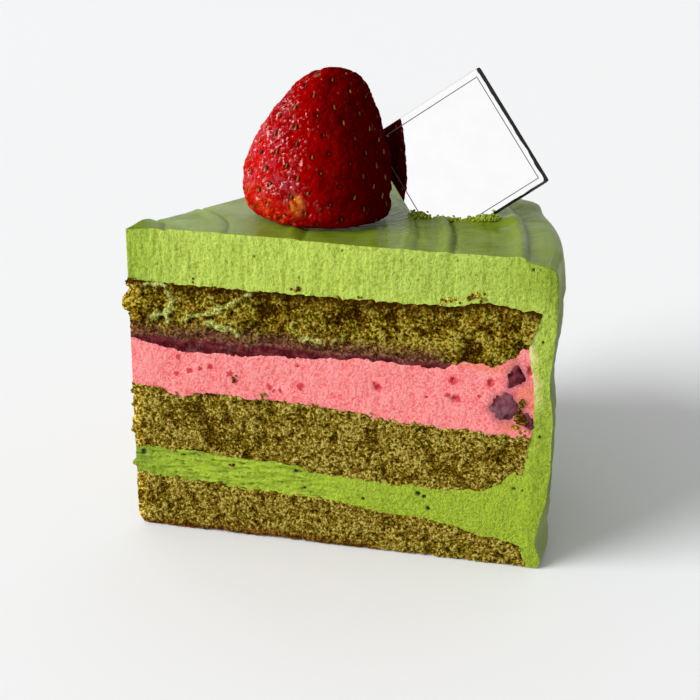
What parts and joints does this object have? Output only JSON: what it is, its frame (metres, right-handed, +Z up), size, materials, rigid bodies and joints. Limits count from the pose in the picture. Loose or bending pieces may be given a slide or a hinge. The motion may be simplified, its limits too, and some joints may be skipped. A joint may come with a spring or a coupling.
{
  "type": "layer cake slice",
  "caption": "Wedge of matcha layer cake with sponge, mousse, jam and filling, coated in cream, topped with a strawberry and a square mirror tag.",
  "frame": {"origin": "middle of the slice's footprint at floor level", "axes": "+Z up, -Y out of the front cut face, -X towards the slice's tip"},
  "size_m": [0.0818, 0.0704, 0.0897],
  "materials": {
    "matcha_sponge": "open olive-brown cake crumb, matt",
    "matcha_filling": "soft green filling with knife drag, satin",
    "strawberry_mousse": "fine salmon-pink mousse with red flecks, satin",
    "berry_jam": "dark purple-red jam, wet",
    "matcha_cream": "smooth spread green cream, satin to glossy on top",
    "strawberry_skin": "deep red skin, glossy, with yellow seeds",
    "mirror_card": "silver mirror face with a fine border line and a dark edge",
    "berry_pulp": "dark wet berry pulp"
  },
  "bodies": {
    "root": {"sponge_bottom": "matcha_sponge", "matcha_filling": "matcha_filling", "sponge_middle": "matcha_sponge", "strawberry_mousse": "strawberry_mousse", "berry_jam": "berry_jam", "sponge_top": "matcha_sponge", "cream_coat": "matcha_cream", "strawberry": "strawberry_skin", "tag_card": "mirror_card", "fruit_piece_upper": "berry_pulp", "fruit_piece_lower": "berry_pulp", "fruit_piece_small": "berry_pulp"}
  },
  "joints": []
}
